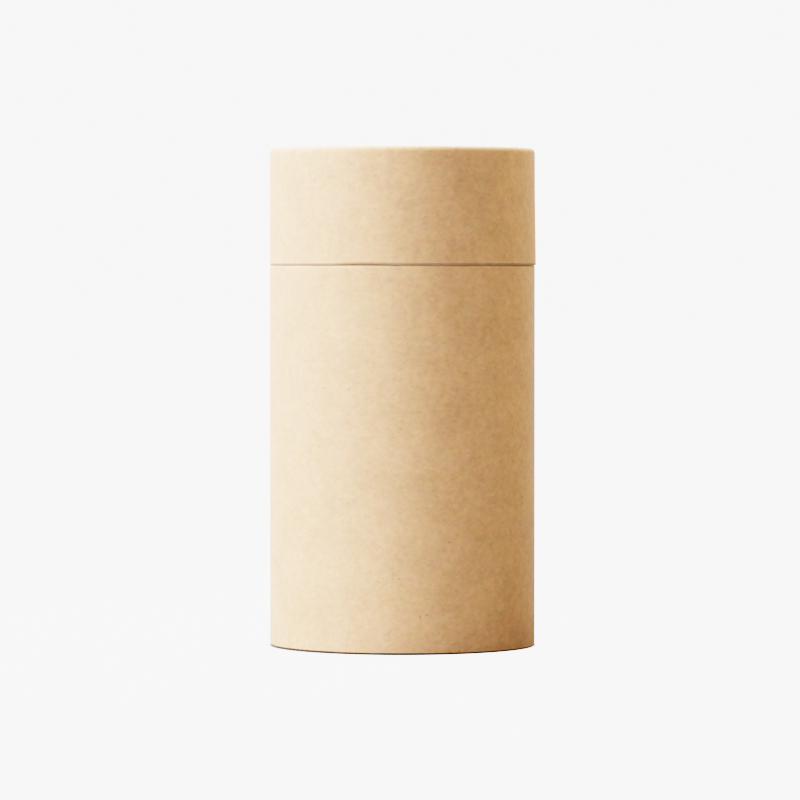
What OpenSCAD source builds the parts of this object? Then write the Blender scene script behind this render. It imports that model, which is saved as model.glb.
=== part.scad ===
// Round paper canister with a pull-off lid that lies flush with its body.
// A wound body tube holds a base disc and an inner sleeve. The sleeve stands above the body's rim
// as a neck, and the lid, a shorter tube closed by a disc, slides down over that neck.
// Millimetres, +Z up, origin at the centre of the foot.

/* [Body] */
// Outside diameter of the body, which the lid lies flush with
body_d = 80; // [60:0.5:110]
// Height of the body from its foot to its rim
body_h = 115; // [80:0.5:200]
// Thickness of the body's wound wall
body_wall = 1.6; // [1.2:0.1:3]

/* [Base] */
// Thickness of the base disc
base_t = 2; // [1:0.1:4]
// Depth that the base disc is set up inside the foot
base_recess = 1.5; // [0.5:0.1:6]

/* [Sleeve] */
// Thickness of the sleeve's wound wall
sleeve_wall = 1.2; // [0.8:0.1:2.5]
// Air between the neck's rim and the lid's disc
neck_headroom = 8; // [0.5:0.5:12]

/* [Lid] */
// Height of the lid from its mouth to its top rim
lid_h = 34.9; // [24:0.1:60]
// Thickness of the lid's disc
lid_disc_t = 2; // [1:0.1:4]
// Depth that the lid's disc is set down inside the top rim
lid_recess = 0.6; // [0.3:0.1:4]

/* [Fits] */
// Film of glue between a tube and what is glued inside it
glue_film = 0.1; // [0.05:0.05:0.2]
// Play on the radius between the neck and the lid
lid_play = 0.2; // [0.1:0.05:0.4]
// Hairline between the body's rim and the lid's mouth
seam_gap = 0.1; // [0.05:0.05:0.5]

/* [Edges] */
// Radius of the lid's top rim, where the outer paper is turned in
rim_r = 1; // [0.3:0.05:1.5]
// Radius of the body's foot
foot_r = 0.5; // [0.2:0.05:1]
// Radius of the two edges that meet along the seam
seam_r = 0.35; // [0.1:0.05:0.6]
// Radius of every edge that is cut and left plain
cut_r = 0.25; // [0.1:0.05:0.4]

/* [Hidden] */

$fn = 180;

kraft_outside = [0.81, 0.67, 0.49];
kraft_inside = [0.74, 0.60, 0.43];
kraft_board = [0.78, 0.64, 0.46];

// Radii, from the outside of the body inwards
body_r = body_d / 2;
body_in_r = body_r - body_wall;
base_r = body_in_r - glue_film;
sleeve_r = body_in_r - glue_film;
sleeve_in_r = sleeve_r - sleeve_wall;
lid_r = body_r;
lid_in_r = sleeve_r + lid_play;
lid_disc_r = lid_in_r - glue_film;

// Levels, from the foot upwards
base_top = base_recess + base_t;
lid_mouth = body_h + seam_gap;
lid_top = lid_mouth + lid_h;
lid_disc_top = lid_top - lid_recess;
lid_disc_low = lid_disc_top - lid_disc_t;
neck_rim = lid_disc_low - neck_headroom;

// Room past a corner that its cut takes, so that no two faces lie on each other
cut_past = 1;
// Largest share of a wall that its outer and its inner rounded edge may take, so that they never meet
outer_edge_share = 0.7;
inner_edge_share = 0.25;

// What is cut off a profile's corner to round it; in_x and in_y are 1 or -1 and point into the profile
module corner_waste(corner, in_x, in_y, r) {
    side = r + cut_past;
    difference() {
        translate([corner.x + (in_x > 0 ? -cut_past : -r), corner.y + (in_y > 0 ? -cut_past : -r)])
            square(side);
        translate([corner.x + in_x * r, corner.y + in_y * r])
            circle(r);
    }
}

// A wound wall between two radii and two levels, with its outer edges rounded and its inner ones eased
module tube(in_r, out_r, low, high, low_edge_r, high_edge_r) {
    wall = out_r - in_r;
    outer_most = outer_edge_share * wall;
    inner_edge_r = min(cut_r, inner_edge_share * wall);
    rotate_extrude()
        difference() {
            translate([in_r, low])
                square([wall, high - low]);
            corner_waste([out_r, low], -1, 1, min(low_edge_r, outer_most));
            corner_waste([out_r, high], -1, -1, min(high_edge_r, outer_most));
            corner_waste([in_r, low], 1, 1, inner_edge_r);
            corner_waste([in_r, high], 1, -1, inner_edge_r);
        }
}

// A punched disc with both edges eased
module disc(r, low, high) {
    thickness = high - low;
    edge_r = min(cut_r, inner_edge_share * thickness);
    rotate_extrude()
        difference() {
            translate([0, low])
                square([r, thickness]);
            corner_waste([r, low], -1, 1, edge_r);
            corner_waste([r, high], -1, -1, edge_r);
        }
}

module body_tube() {
    color(kraft_outside)
        tube(body_in_r, body_r, 0, body_h, low_edge_r = foot_r, high_edge_r = seam_r);
}

module base_disc() {
    color(kraft_board)
        disc(base_r, base_recess, base_top);
}

module inner_sleeve() {
    color(kraft_inside)
        tube(sleeve_in_r, sleeve_r, base_top, neck_rim, low_edge_r = cut_r, high_edge_r = cut_r);
}

module lid_tube() {
    color(kraft_outside)
        tube(lid_in_r, lid_r, lid_mouth, lid_top, low_edge_r = seam_r, high_edge_r = rim_r);
}

module lid_disc() {
    color(kraft_board)
        disc(lid_disc_r, lid_disc_low, lid_disc_top);
}

body_tube();
base_disc();
inner_sleeve();
lid_tube();
lid_disc();
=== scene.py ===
"""The looks of a round kraft-paper canister with a pull-off lid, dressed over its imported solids.

Five meshes stand for the five solids. Each is turned from a profile about the Z axis, then given what
paper does: a lap at the back, plies on cut edges, gathers where paper is turned in, a mouth that has
spread a little, and a foot that is a little crushed. Metres, +Z up, the camera towards -Y, origin at
the centre of the foot.
"""

import math

import bpy
import numpy as np
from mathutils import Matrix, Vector


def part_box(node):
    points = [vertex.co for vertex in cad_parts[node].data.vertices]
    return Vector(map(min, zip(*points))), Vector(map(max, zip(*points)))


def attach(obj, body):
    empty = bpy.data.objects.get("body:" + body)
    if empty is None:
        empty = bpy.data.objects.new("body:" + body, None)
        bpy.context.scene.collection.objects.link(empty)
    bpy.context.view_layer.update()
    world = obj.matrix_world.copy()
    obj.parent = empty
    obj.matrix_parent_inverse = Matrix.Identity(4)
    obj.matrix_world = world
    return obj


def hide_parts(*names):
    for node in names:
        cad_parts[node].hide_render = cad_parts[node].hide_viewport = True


MM = 0.001

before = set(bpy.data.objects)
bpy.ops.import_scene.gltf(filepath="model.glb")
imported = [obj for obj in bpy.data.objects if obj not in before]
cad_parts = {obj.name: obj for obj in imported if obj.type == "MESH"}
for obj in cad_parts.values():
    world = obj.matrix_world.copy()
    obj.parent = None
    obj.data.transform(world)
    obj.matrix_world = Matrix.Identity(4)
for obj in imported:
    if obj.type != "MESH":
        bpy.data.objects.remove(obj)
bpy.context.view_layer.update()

# Rounded edges, as depth into the wall and height
LID_RIM = (1.1 * MM, 1.9 * MM)
LID_MOUTH = (0.5 * MM, 0.7 * MM)
BODY_RIM = (0.45 * MM, 0.8 * MM)
FOOT = (0.45 * MM, 0.58 * MM)
CUT_R = 0.25 * MM
PLAIN_CUT = (CUT_R, CUT_R)

# The foot is crushed: its rounding is that much higher on the left, and lower on the right
FOOT_CRUSH = 0.18 * MM

# Fineness of the meshes; the close columns stand on both sides of a lap's edge, in degrees from it
COLUMNS = 480
CLOSE_COLUMNS_DEG = (0.05, 0.15, 0.4)
WALL_STEP = 3.0 * MM
EDGE_STEP = 0.4 * MM
EDGE_REACH = 4.0 * MM
ARC_STEPS = 8
DISC_STEP = 2.0 * MM

# Plies of the board, and the lap of the facing paper
PLY = 0.4 * MM
PLY_GROOVE_DEPTH = 0.05 * MM
PLY_GROOVE_HALF = 0.05 * MM
LAP_RISE = 0.10 * MM
LAP_WIDTH = 9.0 * MM
LAP_EDGE_WIDTH = 0.05 * MM
BODY_LAP_DEG = 96.0
LID_LAP_DEG = 71.0
SLEEVE_LAP_DEG = 118.0

# Gathers in the paper turned in over the lid's rim; a wave round an edge is a size, a number and a phase
GATHERS = 64
GATHER_DEPTH = 0.07 * MM
GATHER_SHARPNESS = 3
GATHER_DRIFT = ((1.6, 5, 0.7), (2.1, 3, 2.0))
GATHER_SWELL = ((0.35, 11, 1.3),)
GATHER_SWELL_MEAN = 0.65

# Uneven cut of the neck's rim
CUT_WANDER = 0.05 * MM
CUT_WANDER_HEIGHT = 4.0 * MM
CUT_WAVES = ((0.5, 2, 0.4), (0.3, 5, 1.9), (0.2, 13, 0.8))

# Crown of the discs, and where it ends in shares of their radius
DISC_CROWN = 0.12 * MM
CROWN_REACH = 1.1

# The lid sits down on the body, but for one stretch of its mouth that stands a little higher
SEAM_LIP = 0.045 * MM
SEAM_DROP = 0.3 * MM
MOUTH_LIFT = 0.32 * MM
MOUTH_LIFT_DEG = -107.0
MOUTH_LIFT_HALF_DEG = 20.0
MOUTH_LIFT_HEIGHT = 4.0 * MM

# The board swells a little where it was cut for the mouth
FLARE = 0.11 * MM
FLARE_HEIGHT = 1.6 * MM

# The lid's mouth has spread a little on its right
SPREAD = 0.3 * MM
SPREAD_DEG = 0.0
SPREAD_HALF_DEG = 55.0
SPREAD_HEIGHT = 26.0 * MM

# Camera
EYE_DISTANCE = 1.48
EYE_LEVEL = 115.0 * MM
AIM_LEVEL = 74.1 * MM
AXIS_RIGHT_OF_CENTRE = 0.73 * MM
VIEW_WIDTH = 241.7 * MM
SENSOR_WIDTH = 36.0

# Square sheets that hold a piece's unrolled picture; two rounds of this radius fill one from corner
# to corner
SHEET_MARGIN = 0.004
ROUND_R = 1 / (2 + math.sqrt(2))

# Paper colours and painted shade, as shares of light sent back
KRAFT_OUTSIDE = (0.62, 0.316, 0.158)
KRAFT_INSIDE = (0.55, 0.313, 0.176)
# The discs' own paper, set darker to hold back the strong light from above on the lid's top, so partly
# painted shade
DISC_PAPER_WITH_PAINTED_SHADE = (0.40, 0.215, 0.115)
# The board's own grey-brown on cut ends and disc edges; on the lid's mouth rounding it is also painted
# shade that darkens the seam
BOARD_AND_SEAM_SHADE = (0.335, 0.207, 0.122)
# Near black on the foot's rounding: painted contact shade where the foot meets the floor
FOOT_PAINTED_SHADE = (0.06, 0.042, 0.027)

# How far the shade of the pulp swings either way, in each channel
SWING = (0.23, 0.20, 0.21)
# How far its hue wanders, towards pink or green and towards blue or yellow
BLUSH = 0.045
AMBER = 0.10
# How much of a dark bit covers the pulp, and its shade
BIT_COVER = 0.45
BIT_SHADE = 0.35

# Noise in the paper: size of its features in millimetres, detail, seed
CLOUDS = (12.0, 2.0, 1)
MOTTLE = (2.6, 2.0, 2)
GRAIN = (0.8, 1.0, 3)
BLUSH_PATCHES = (4.0, 2.0, 10)
AMBER_PATCHES = (5.0, 2.0, 11)
NOISE_ROUGHNESS = 0.55
# Strands in the paper: cell, length and width in millimetres, share of cells that hold one, seed
PALE_STRANDS = (2.3, 2.2, 0.64, 0.8, 4)
DARK_STRANDS = (2.5, 2.1, 0.66, 0.8, 5)
LONG_STRANDS = (9.0, 5.0, 0.50, 0.4, 6)
FLECKS = (1.6, 1.2, 0.62, 0.7, 9)
BITS = (11.0, 1.2, 0.55, 0.2, 7)
# How far each seed moves the noise and the strands on the paper, in millimetres
NOISE_STEP = (31.7, 17.3, 0.0)
STRAND_STEP = (13.1, 29.9, 0.0)

# Strands lie along the winding, leaning at most this far off it, in radians, and bend at most this much
LEAN = 0.9
STRAND_BEND = 0.9
# Where a strand fades: to its sides in shares of its width, and to its tips in shares of its length
STRAND_SIDE = (0.25, 0.75)
STRAND_TIP = (0.25, 0.5)

# Surface of the paper
ROUGHNESS = 0.72
ROUGHNESS_SWING = 0.08
SPECULAR = 0.4
SHEEN = 0.1
BUMP_STRENGTH = 0.4
BUMP_DEPTH = 0.03 * MM

# Stage
WHITE = (1.0, 1.0, 1.0, 1.0)
PALE_STAGE = 2.72
FLOOR_HALF = 6.0
FLOOR_TRACE = 0.05
FLOOR_BOUNCE = 0.2
# Painted contact shadow on the floor: how far it reaches from the foot, and the floor's share of its
# paleness at the foot
PAINTED_SHADOW_REACH = 1.6 * MM
PAINTED_SHADOW_SHARE = 0.3
AMBIENT = 0.202
AMBIENT_COLOUR = (0.96, 1.0, 0.935, 1.0)
LAMP_AIM_LEVEL = 75.0 * MM
# Soft boxes: name, azimuth and elevation in degrees, distance and side in metres, watts, colour
LAMPS = (
    ("high_left", -100.0, 70.0, 0.9, 0.5, 32.8, (1.015, 1.0, 0.94)),
    ("key", -80.0, 25.0, 0.9, 0.4, 8.15, (1.07, 1.0, 0.965)),
    ("left", -65.0, 6.0, 0.9, 0.3, 4.93, (1.05, 1.0, 1.09)),
    ("front", -35.0, 6.0, 0.9, 0.3, 4.47, (0.885, 1.0, 1.185)),
    ("behind_right", 115.0, 60.0, 0.4, 0.2, 1.06, (1.04, 1.0, 0.92)),
    ("right", 90.0, 18.0, 0.4, 0.2, 0.28, (1.10, 1.0, 0.68)),
    ("edge", 150.0, 6.0, 0.9, 0.3, 0.3, (0.95, 1.0, 1.25)),
)


# Sizes taken from the solids

def radii(node):
    """Inner and outer radius of a round CAD node."""
    places = np.array([v.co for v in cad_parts[node].data.vertices])
    from_axis = np.hypot(places[:, 0], places[:, 1])
    return float(from_axis.min()), float(from_axis.max())


def levels(node):
    """Lowest and highest level of a CAD node."""
    low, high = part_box(node)
    return low.z, high.z


# Profiles, as points (radius, level) that run anticlockwise with the solid on their left

def straight(start, end, step):
    """Points along a line, without its last one."""
    start, end = np.array(start), np.array(end)
    count = max(1, int(round(np.linalg.norm(end - start) / step)))
    return [tuple(start + (end - start) * i / count) for i in range(count)]


def rounding(centre, depth, height, from_deg, to_deg):
    """Points along a quarter of an ellipse, without its last one."""
    turns = [math.radians(from_deg + (to_deg - from_deg) * i / ARC_STEPS) for i in range(ARC_STEPS)]
    return [(centre[0] + depth * math.cos(t), centre[1] + height * math.sin(t)) for t in turns]


def cut_end(start_r, end_r, level, into, wall_start):
    """Points across a tube's cut end, with a fine groove between each two plies."""
    points = [(start_r, level)]
    way = 1 if end_r > start_r else -1
    joint = wall_start + way * PLY
    while way * (end_r - joint) > 2 * PLY_GROOVE_HALF:
        if way * (joint - start_r) > 2 * PLY_GROOVE_HALF:
            points.append((joint - way * PLY_GROOVE_HALF, level))
            points.append((joint, level + into * PLY_GROOVE_DEPTH))
            points.append((joint + way * PLY_GROOVE_HALF, level))
        joint += way * PLY
    return points


def joined(parts):
    """The points of all the parts of a profile, and the part that each of them starts."""
    points = [point for _, some in parts for point in some]
    names = [name for name, some in parts for _ in some]
    return np.array(points), names


def tube_profile(in_r, out_r, low, high, low_edge, high_edge, turned_in=False):
    """A tube's section, and for each of its points the part of the tube that starts there."""
    low_depth, low_height = low_edge
    high_depth, high_height = high_edge
    top_in, top_out = in_r + CUT_R, out_r - high_depth
    near_low = low + low_height + EDGE_REACH
    return joined([
        ("low_edge", rounding((out_r - low_depth, low + low_height), low_depth, low_height, -90, 0)),
        ("outer", straight((out_r, low + low_height), (out_r, near_low), EDGE_STEP)),
        ("outer", straight((out_r, near_low), (out_r, high - high_height), WALL_STEP)),
        ("outer", rounding((top_out, high - high_height), high_depth, high_height, 0, 90)),
        ("high_end", [(top_out, high)] if turned_in else cut_end(top_out, top_in, high, -1, out_r)),
        ("high_end", rounding((top_in, high - CUT_R), CUT_R, CUT_R, 90, 180)),
        ("inner", straight((in_r, high - CUT_R), (in_r, low + CUT_R), WALL_STEP)),
        ("low_end", rounding((in_r + CUT_R, low + CUT_R), CUT_R, CUT_R, 180, 270)),
        ("low_end", cut_end(in_r + CUT_R, out_r - low_depth, low, 1, in_r)),
    ])


def disc_profile(radius, low, high):
    """Half a disc's section, from the axis below to the axis above, and its parts."""
    edge = CUT_R
    return joined([
        ("under", straight((0.0, low), (radius - edge, low), DISC_STEP)),
        ("edge", rounding((radius - edge, low + edge), edge, edge, -90, 0)),
        ("edge", straight((radius, low + edge), (radius, high - edge), WALL_STEP)),
        ("edge", rounding((radius - edge, high - edge), edge, edge, 0, 90)),
        ("top", straight((radius - edge, high), (0.0, high), DISC_STEP)),
        ("top", [(0.0, high)]),
    ])


# Meshes

def turns_from(start_deg):
    """Angles once round from a start, closer together on both sides of it."""
    start = math.radians(start_deg)
    close = np.radians(CLOSE_COLUMNS_DEG)
    even = np.arange(1, COLUMNS) * 2 * math.pi / COLUMNS
    return start + np.concatenate([[0.0], close, even, 2 * math.pi - close[::-1]])


def unrolled(angle, run, start, whole, reach, paper_from):
    """Where a tube's corners lie on its paper, in metres, and on the square sheet of its picture."""
    paper = np.stack([angle * reach, paper_from + run], axis=-1)
    sheet = np.stack([(angle - start) / (2 * math.pi), run / whole], axis=-1)
    return paper, SHEET_MARGIN + (1 - 2 * SHEET_MARGIN) * sheet


def laid_flat(angle, run, under, whole):
    """Where a disc's corners lie on its paper, and on a sheet that holds its two faces as rounds."""
    away = np.where(under, run, whole - run)
    flat = np.stack([away * np.cos(angle), away * np.sin(angle)], axis=-1)
    middle = np.where(under[..., None], ROUND_R, 1 - ROUND_R)
    return flat, middle + flat * (ROUND_R - SHEET_MARGIN) / (whole / 2 + DISC_STEP)


def turned(profile, turns, spans, shape):
    """Places, the faces' corners, and which corners count: a disc's faces at its axis have three."""
    count, rows = len(turns), len(profile)
    turn = np.repeat(turns[:, None], rows, axis=1)
    r = np.repeat(profile[None, :, 0], count, axis=0)
    z = np.repeat(profile[None, :, 1], count, axis=0)
    r, z = shape(turn, r, z)
    places = np.stack([r * np.cos(turn), r * np.sin(turn), z], axis=2).reshape(-1, 3)

    is_disc = spans < rows
    index = np.arange(count * rows).reshape(count, rows)
    if is_disc:
        index[:, 0] = index[0, 0]
        index[:, -1] = index[0, -1]
    used, index = np.unique(index, return_inverse=True)
    index = index.reshape(count, rows)

    after = np.roll(np.arange(count), -1)
    above = np.roll(np.arange(rows), -1)[:spans]
    here = index[:, :spans]
    faces = np.stack([here, here[after], index[after][:, above], index[:, above]], axis=2)
    kept = np.ones(faces.shape, bool)
    if is_disc:
        kept[:, 0, 1] = False
        kept[:, -1, 3] = False
    return places[used], faces, kept


def maps(profile, parts, turns, spans):
    """Where the corners of the faces lie on the paper, and on the sheet of the piece's picture."""
    count = len(turns)
    steps = np.diff(np.vstack([profile, profile[:1]]), axis=0)[:spans]
    run = np.concatenate([[0.0], np.cumsum(np.hypot(steps[:, 0], steps[:, 1]))])
    next_turn = np.append(turns[1:], turns[0] + 2 * math.pi)
    angles = np.stack([turns, next_turn, next_turn, turns], axis=1)[:, None, :].repeat(spans, axis=1)
    runs = np.stack([run[:-1], run[:-1], run[1:], run[1:]], axis=1)[None].repeat(count, axis=0)
    if spans == len(profile):
        # Twice the lowest level, so that the lid's paper doesn't carry on the body's pattern
        paper_from = 2 * profile[0, 1]
        return unrolled(angles, runs, turns[0], run[-1], profile[:, 0].max(), paper_from)
    under = np.array([part == "under" for part in parts[:spans]])[None, :, None]
    return laid_flat(angles, runs, np.broadcast_to(under, runs.shape), run[-1])


def lathe(name, profile, parts, turns, materials, worn, shape):
    """A piece turned from its profile: a tube where that stays off the axis, and otherwise a disc."""
    is_tube = profile[0, 0] > 0
    spans = len(profile) if is_tube else len(profile) - 1
    places, faces, kept = turned(profile, turns, spans, shape)
    paper, sheet = maps(profile, parts, turns, spans)

    mesh = bpy.data.meshes.new(name)
    faces = [face[keep].tolist() for face, keep in zip(faces.reshape(-1, 4), kept.reshape(-1, 4))]
    mesh.from_pydata(places.tolist(), [], faces)
    for map_name, map_places in (("Paper", paper), ("OFBake", sheet)):
        corners = map_places[kept].astype(np.float32).ravel()
        mesh.uv_layers.new(name=map_name).data.foreach_set("uv", corners)
    for material in materials:
        mesh.materials.append(material)
    wears = [worn[part] for part in parts[:spans]] * len(turns)
    mesh.polygons.foreach_set("material_index", wears)
    mesh.polygons.foreach_set("use_smooth", [True] * len(faces))
    mesh.validate()
    piece = bpy.data.objects.new(name, mesh)
    bpy.context.scene.collection.objects.link(piece)
    return piece


# What paper does

def hill(x):
    """A smooth rise from 0 to 1 while x goes from 0 to 1."""
    x = np.clip(x, 0.0, 1.0)
    return x * x * (3 - 2 * x)


def beside(turn, centre_deg, half_deg):
    """A smooth swell round one direction: 1 in it, 0 from half_deg away."""
    aside = np.abs((np.degrees(turn) - centre_deg + 180) % 360 - 180)
    return hill(1 - aside / half_deg)


def lap(turn, depth, start_deg, reach):
    """Rise of the facing paper where its end lies over its start, for points that deep below its face."""
    left = 2 * math.pi * reach - (turn - math.radians(start_deg)) * reach
    rise = hill(1 - left / LAP_WIDTH) * hill(left / LAP_EDGE_WIDTH)
    return LAP_RISE * rise * hill(2 - depth / PLY)


def waves(turn, parts):
    """A sum of waves round an edge."""
    return sum(size * np.sin(count * turn + phase) for size, count, phase in parts)


def gathers(turn):
    """Small uneven folds, from 0 to 1, in paper that is turned in round an edge."""
    folds = 0.5 + 0.5 * np.cos(GATHERS * turn + waves(turn, GATHER_DRIFT))
    return folds ** GATHER_SHARPNESS * (GATHER_SWELL_MEAN + waves(turn, GATHER_SWELL))


# Node trees

def node(tree, kind, **settings):
    """A new node with its settings; a setting that names an input fills or joins that input."""
    made = tree.nodes.new(kind)
    for key, value in settings.items():
        if hasattr(made, key):
            setattr(made, key, value)
        else:
            join(tree, value, made.inputs[key.replace("_", " ")])
    return made


def join(tree, value, socket):
    """Joins a socket to an input, or sets the input to a plain value."""
    if isinstance(value, bpy.types.NodeSocket):
        tree.links.new(value, socket)
    else:
        socket.default_value = value


def number(tree, operation, *values):
    """The result of a Math node."""
    made = tree.nodes.new("ShaderNodeMath")
    made.operation = operation
    for value, socket in zip(values, made.inputs):
        join(tree, value, socket)
    return made.outputs[0]


def vector(tree, operation, *values):
    """The result of a Vector Math node."""
    made = tree.nodes.new("ShaderNodeVectorMath")
    made.operation = operation
    for value, socket in zip(values, made.inputs):
        join(tree, value, socket)
    return made.outputs[0]


def ranged(tree, value, low, high, to_low=0.0, to_high=1.0):
    """A value moved smoothly from one range into another."""
    made = tree.nodes.new("ShaderNodeMapRange")
    made.interpolation_type = "SMOOTHSTEP"
    for given, socket in zip((value, low, high, to_low, to_high), made.inputs):
        join(tree, given, socket)
    return made.outputs[0]


def mixed(tree, share, first, second, blend_type="MIX"):
    """The colour of a Mix node, whose sockets for colours share their names with others."""
    made = node(tree, "ShaderNodeMix", data_type="RGBA", blend_type=blend_type)
    share_in, first_in, second_in = (made.inputs[i] for i in (0, 6, 7))
    join(tree, share, share_in)
    join(tree, first, first_in)
    join(tree, second, second_in)
    colour_out = made.outputs[2]
    return colour_out


def noise(tree, place, size_mm, detail, seed):
    """Noise from about -1 to 1 whose features have that size."""
    moved = vector(tree, "ADD", place, tuple(seed * step for step in NOISE_STEP))
    made = node(tree, "ShaderNodeTexNoise", noise_dimensions="2D", Vector=moved, Scale=1.0 / size_mm,
                Detail=detail, Roughness=NOISE_ROUGHNESS)
    return number(tree, "MULTIPLY_ADD", made.outputs["Fac"], 2.0, -1.0)


def strands(tree, place, cell_mm, length_mm, width_mm, share, seed):
    """Single fibres, from 0 to 1: one in some of the cells, each with its own direction and bend."""
    moved = vector(tree, "ADD", place, tuple(seed * step for step in STRAND_STEP))
    cells = node(tree, "ShaderNodeTexVoronoi", voronoi_dimensions="2D", Vector=moved,
                 Scale=1.0 / cell_mm)
    chance = node(tree, "ShaderNodeSeparateColor", Color=cells.outputs["Color"])
    off = vector(tree, "SUBTRACT", moved, cells.outputs["Position"])
    turned_off = node(tree, "ShaderNodeVectorRotate", rotation_type="Z_AXIS", Vector=off,
                      Angle=number(tree, "MULTIPLY_ADD", chance.outputs["Red"], 2 * LEAN, -LEAN))
    parts = node(tree, "ShaderNodeSeparateXYZ", Vector=turned_off.outputs[0])
    along = parts.outputs["X"]
    most_bend = STRAND_BEND / length_mm
    bend = number(tree, "MULTIPLY_ADD", chance.outputs["Blue"], 2 * most_bend, -most_bend)
    bow = number(tree, "MULTIPLY", number(tree, "MULTIPLY", along, along), bend)
    across = number(tree, "ABSOLUTE", number(tree, "ADD", parts.outputs["Y"], bow))
    side_from, side_to = (width_mm * part for part in STRAND_SIDE)
    tip_from, tip_to = (length_mm * part for part in STRAND_TIP)
    thin = ranged(tree, across, side_from, side_to, 1.0, 0.0)
    short = ranged(tree, number(tree, "ABSOLUTE", along), tip_from, tip_to, 1.0, 0.0)
    there = number(tree, "LESS_THAN", chance.outputs["Green"], share)
    return number(tree, "MULTIPLY", number(tree, "MULTIPLY", thin, short), there)


def total(tree, *weighted):
    """A sum of values, each with its weight."""
    result = 0.0
    for value, weight in weighted:
        result = number(tree, "MULTIPLY_ADD", value, weight, result)
    return result


def scaled(colour, shares):
    """A colour with each channel times its share, and full cover."""
    return tuple(channel * share for channel, share in zip(colour, shares)) + (1.0,)


def kraft(name, colour, fibres=1.0):
    """Unbleached paper: cloudy pulp, fine grain, light and dark fibres, and a few darker bits."""
    material = bpy.data.materials.new(name)
    material.use_nodes = True
    tree = material.node_tree
    shader = tree.nodes["Principled BSDF"]
    paper_map = node(tree, "ShaderNodeUVMap", uv_map="Paper")
    place = vector(tree, "SCALE", paper_map.outputs[0])
    place.node.inputs["Scale"].default_value = 1.0 / MM

    clouds = noise(tree, place, *CLOUDS)
    mottle = noise(tree, place, *MOTTLE)
    grain = noise(tree, place, *GRAIN)
    pale = strands(tree, place, *PALE_STRANDS)
    dark = strands(tree, place, *DARK_STRANDS)
    long_pale = strands(tree, place, *LONG_STRANDS)
    flecks = strands(tree, place, *FLECKS)
    bits = strands(tree, place, *BITS)

    shade = total(
        tree,
        (clouds, 0.64),
        (mottle, 0.66),
        (grain, 0.11),
        (pale, 0.29 * fibres),
        (long_pale, 0.40 * fibres),
        (dark, -0.32 * fibres),
        (flecks, -0.19 * fibres),
    )
    low = scaled(colour, [1 - swing for swing in SWING])
    high = scaled(colour, [1 + swing for swing in SWING])
    pulp = mixed(tree, number(tree, "MULTIPLY_ADD", shade, 0.5, 0.5), low, high)
    blush = noise(tree, place, *BLUSH_PATCHES)
    amber = noise(tree, place, *AMBER_PATCHES)
    tint = node(tree, "ShaderNodeCombineColor",
                Red=number(tree, "MULTIPLY_ADD", blush, BLUSH, 1.0),
                Green=number(tree, "MULTIPLY_ADD", blush, -BLUSH, 1.0),
                Blue=number(tree, "MULTIPLY_ADD", amber, AMBER, 1.0))
    tinted = mixed(tree, 1.0, pulp, tint.outputs[0], "MULTIPLY")
    bit_colour = scaled(colour, [BIT_SHADE] * len(colour))
    speckled = mixed(tree, number(tree, "MULTIPLY", bits, BIT_COVER), tinted, bit_colour)
    join(tree, speckled, shader.inputs["Base Color"])

    roughness = number(tree, "MULTIPLY_ADD", grain, ROUGHNESS_SWING, ROUGHNESS)
    join(tree, roughness, shader.inputs["Roughness"])
    shader.inputs["Specular IOR Level"].default_value = SPECULAR
    shader.inputs["Sheen Weight"].default_value = SHEEN

    height = total(
        tree,
        (grain, 0.35),
        (pale, 0.5),
        (long_pale, 0.6),
        (dark, 0.35),
        (mottle, 0.3),
    )
    bump = node(tree, "ShaderNodeBump", Strength=BUMP_STRENGTH, Distance=BUMP_DEPTH, Height=height)
    join(tree, bump.outputs[0], shader.inputs["Normal"])
    return material


kraft_outside = kraft("kraft_outside", KRAFT_OUTSIDE)
kraft_inside = kraft("kraft_inside", KRAFT_INSIDE, fibres=0.8)
kraft_disc = kraft("kraft_disc", DISC_PAPER_WITH_PAINTED_SHADE)
board_and_seam_shade = kraft("board_and_seam_shade", BOARD_AND_SEAM_SHADE, fibres=0.6)
foot_painted_shade = kraft("foot_painted_shade", FOOT_PAINTED_SHADE, fibres=0.6)


# The five pieces, and which of its materials each part of a piece wears

TUBE_PARTS = {"outer": 0, "low_edge": 1, "high_end": 1, "low_end": 1, "inner": 2}
DISC_PARTS = {"top": 0, "edge": 1, "under": 2}


def make_body_tube():
    """The body's wound wall, with its outer paper lapped at the back and its foot crushed a little."""
    in_r, out_r = radii("body_tube")
    low, high = levels("body_tube")
    rim = high - SEAM_DROP + SEAM_LIP
    profile, parts = tube_profile(in_r, out_r, low, rim, FOOT, BODY_RIM)

    def shape(turn, r, z):
        up = z - low
        outside = r > out_r - FOOT[0]
        near_foot = outside * np.clip(up / FOOT[1], 0.0, 1.0) * hill(1 - up / EDGE_REACH)
        crush = -FOOT_CRUSH * np.cos(turn) * near_foot
        return r + lap(turn, out_r - r, BODY_LAP_DEG, out_r), z + crush

    # The foot's rounding wears the painted contact shade
    worn = dict(TUBE_PARTS, low_edge=3)
    return lathe("body_tube_paper", profile, parts, turns_from(BODY_LAP_DEG),
                 [kraft_outside, board_and_seam_shade, kraft_inside, foot_painted_shade], worn, shape)


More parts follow.
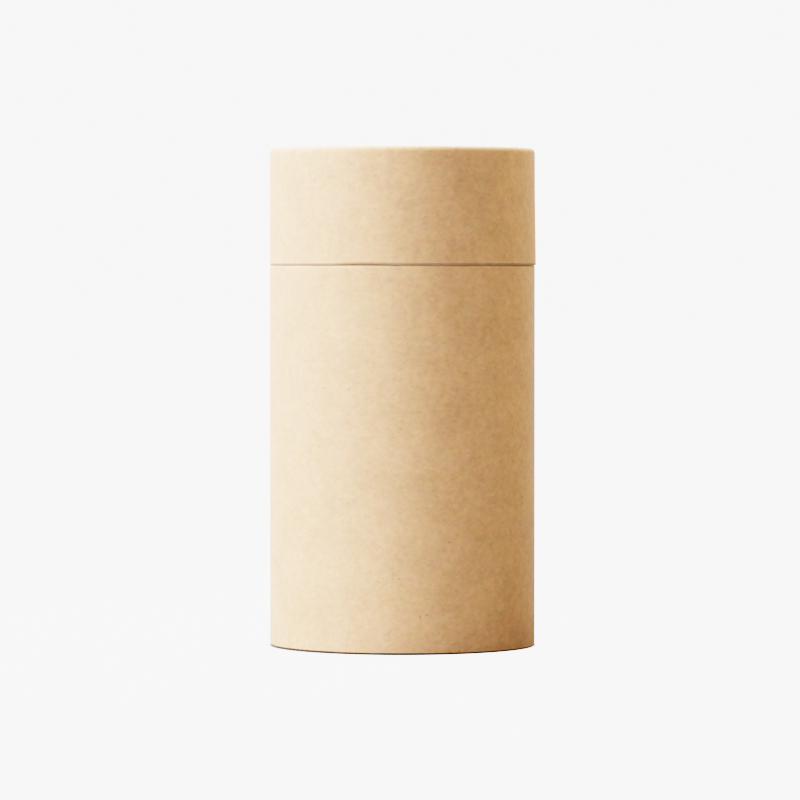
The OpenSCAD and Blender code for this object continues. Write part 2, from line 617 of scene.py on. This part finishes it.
def make_lid_tube():
    """The lid's wound wall, its outer paper turned in over the top rim, its mouth flared and spread."""
    in_r, out_r = radii("lid_tube")
    low, high = levels("lid_tube")
    mouth = low - SEAM_DROP - SEAM_LIP
    profile, parts = tube_profile(in_r, out_r, mouth, high, LID_MOUTH, LID_RIM, turned_in=True)

    def shape(turn, r, z):
        up = z - mouth
        spread = SPREAD * beside(turn, SPREAD_DEG, SPREAD_HALF_DEG) * hill(1 - up / SPREAD_HEIGHT)
        lift = (MOUTH_LIFT * beside(turn, MOUTH_LIFT_DEG, MOUTH_LIFT_HALF_DEG)
                * hill(1 - up / MOUTH_LIFT_HEIGHT))
        inward = hill((out_r - r) / LID_RIM[0])
        on_rim = hill(1 - (high - z) / LID_RIM[1])
        fold = GATHER_DEPTH * gathers(turn) * inward * on_rim
        flare = FLARE * np.clip(1 - up / FLARE_HEIGHT, 0.0, 1.0) ** 2 * (r > in_r + CUT_R)
        return r + lap(turn, out_r - r, LID_LAP_DEG, out_r) + spread + flare, z + lift - fold

    # The mouth's rounding wears the board colour, here also as painted shade along the seam
    worn = dict(TUBE_PARTS, high_end=0)
    return lathe("lid_tube_paper", profile, parts, turns_from(LID_LAP_DEG),
                 [kraft_outside, board_and_seam_shade, kraft_inside], worn, shape)


def make_inner_sleeve():
    """The sleeve whose neck the lid slides over, lapped inside and cut a little unevenly at its rim."""
    in_r, out_r = radii("inner_sleeve")
    low, high = levels("inner_sleeve")
    profile, parts = tube_profile(in_r, out_r, low, high, PLAIN_CUT, PLAIN_CUT)

    def shape(turn, r, z):
        cut = CUT_WANDER * waves(turn, CUT_WAVES) * hill(1 - (high - z) / CUT_WANDER_HEIGHT)
        return r - lap(turn, r - in_r, SLEEVE_LAP_DEG, in_r), z + cut

    worn = dict(TUBE_PARTS, inner=0)
    return lathe("inner_sleeve_paper", profile, parts, turns_from(SLEEVE_LAP_DEG),
                 [kraft_inside, board_and_seam_shade], worn, shape)


def make_disc(node_name, name, top_material, under_material):
    """A punched disc of board with paper on both faces, a little crowned."""
    out_r = radii(node_name)[1]
    low, high = levels(node_name)
    profile, parts = disc_profile(out_r, low, high)

    def shape(turn, r, z):
        return r, z + DISC_CROWN * hill(CROWN_REACH - r / out_r)

    return lathe(name, profile, parts, turns_from(0.0),
                 [top_material, board_and_seam_shade, under_material], DISC_PARTS, shape)


pieces = [
    (make_body_tube(), "canister", "body_tube", "kraft_outside"),
    (make_disc("base_disc", "base_disc_board", kraft_inside, kraft_disc),
     "canister", "base_disc", "kraft_disc"),
    (make_inner_sleeve(), "canister", "inner_sleeve", "kraft_inside"),
    (make_lid_tube(), "lid", "lid_tube", "kraft_outside"),
    (make_disc("lid_disc", "lid_disc_board", kraft_disc, kraft_inside),
     "lid", "lid_disc", "kraft_disc"),
]
for piece, body, solid, slot in pieces:
    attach(piece, body)
    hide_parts(solid)


# Stage

def make_floor():
    """A floor that looks as pale as the backdrop and sends some of the lamps' light up again; a ring of
    painted contact shadow round the foot darkens both.
    """
    mesh = bpy.data.meshes.new("floor")
    corners = [(-FLOOR_HALF, -FLOOR_HALF, 0), (FLOOR_HALF, -FLOOR_HALF, 0),
               (FLOOR_HALF, FLOOR_HALF, 0), (-FLOOR_HALF, FLOOR_HALF, 0)]
    mesh.from_pydata(corners, [], [(0, 1, 2, 3)])
    material = bpy.data.materials.new("pale_floor")
    material.use_nodes = True
    tree = material.node_tree
    tree.nodes.clear()
    path = node(tree, "ShaderNodeLightPath")
    seen = path.outputs["Is Camera Ray"]
    place = node(tree, "ShaderNodeNewGeometry").outputs["Position"]
    away = node(tree, "ShaderNodeVectorMath", operation="LENGTH")
    tree.links.new(place, away.inputs[0])
    # A ring of painted contact shadow round the foot, in the floor's glow and in its bounce
    foot_r = radii("body_tube")[1] - FOOT[0]
    painted_contact_shadow = ranged(tree, away.outputs["Value"], foot_r, foot_r + PAINTED_SHADOW_REACH, PAINTED_SHADOW_SHARE, 1.0)
    pale = number(tree, "MULTIPLY", painted_contact_shadow, PALE_STAGE)
    glow = node(tree, "ShaderNodeEmission", Strength=number(tree, "MULTIPLY", seen, pale))
    open_share = number(tree, "MULTIPLY_ADD", seen, FLOOR_TRACE - FLOOR_BOUNCE, FLOOR_BOUNCE)
    share = number(tree, "MULTIPLY", painted_contact_shadow, open_share)
    paint = node(tree, "ShaderNodeBsdfDiffuse", Color=share)
    both = node(tree, "ShaderNodeAddShader")
    tree.links.new(glow.outputs[0], both.inputs[0])
    tree.links.new(paint.outputs[0], both.inputs[1])
    out = node(tree, "ShaderNodeOutputMaterial")
    tree.links.new(both.outputs[0], out.inputs["Surface"])
    mesh.materials.append(material)
    floor = bpy.data.objects.new("floor", mesh)
    bpy.context.scene.collection.objects.link(floor)


def make_world():
    """Soft light from all round, behind a backdrop as pale as the floor."""
    world = bpy.data.worlds.new("studio")
    bpy.context.scene.world = world
    world.use_nodes = True
    tree = world.node_tree
    tree.nodes.clear()
    path = node(tree, "ShaderNodeLightPath")
    glow = node(tree, "ShaderNodeBackground", Color=AMBIENT_COLOUR, Strength=AMBIENT)
    backdrop = node(tree, "ShaderNodeBackground", Color=WHITE, Strength=PALE_STAGE)
    choice = node(tree, "ShaderNodeMixShader")
    tree.links.new(path.outputs["Is Camera Ray"], choice.inputs[0])
    tree.links.new(glow.outputs[0], choice.inputs[1])
    tree.links.new(backdrop.outputs[0], choice.inputs[2])
    out = node(tree, "ShaderNodeOutputWorld")
    tree.links.new(choice.outputs[0], out.inputs["Surface"])


def soft_box(name, azimuth_deg, elevation_deg, distance, size, watts, colour):
    """A square lamp aimed at the canister's middle; azimuth 0 is the camera's side, 90 its right."""
    middle = Vector((0.0, 0.0, LAMP_AIM_LEVEL))
    a, e = math.radians(azimuth_deg), math.radians(elevation_deg)
    away = Vector((math.sin(a) * math.cos(e), -math.cos(a) * math.cos(e), math.sin(e)))
    lamp = bpy.data.lights.new(name, "AREA")
    lamp.shape = "SQUARE"
    lamp.size = size
    lamp.energy = watts
    lamp.color = colour
    holder = bpy.data.objects.new(name, lamp)
    holder.location = middle + away * distance
    holder.rotation_euler = away.to_track_quat("Z", "Y").to_euler()
    bpy.context.scene.collection.objects.link(holder)


def make_camera():
    """A long lens at the level of the seam, aimed a little down."""
    data = bpy.data.cameras.new("camera")
    data.sensor_width = SENSOR_WIDTH
    data.lens = SENSOR_WIDTH * EYE_DISTANCE / VIEW_WIDTH
    camera = bpy.data.objects.new("camera", data)
    camera.location = (-AXIS_RIGHT_OF_CENTRE, -EYE_DISTANCE, EYE_LEVEL)
    down = math.atan2(EYE_LEVEL - AIM_LEVEL, EYE_DISTANCE)
    camera.rotation_euler = (math.pi / 2 - down, 0.0, 0.0)
    bpy.context.scene.collection.objects.link(camera)
    bpy.context.scene.camera = camera


make_camera()
make_floor()
make_world()
for lamp in LAMPS:
    soft_box(*lamp)

view = bpy.context.scene.view_settings
view.view_transform = "Filmic"
view.look = "Very High Contrast"
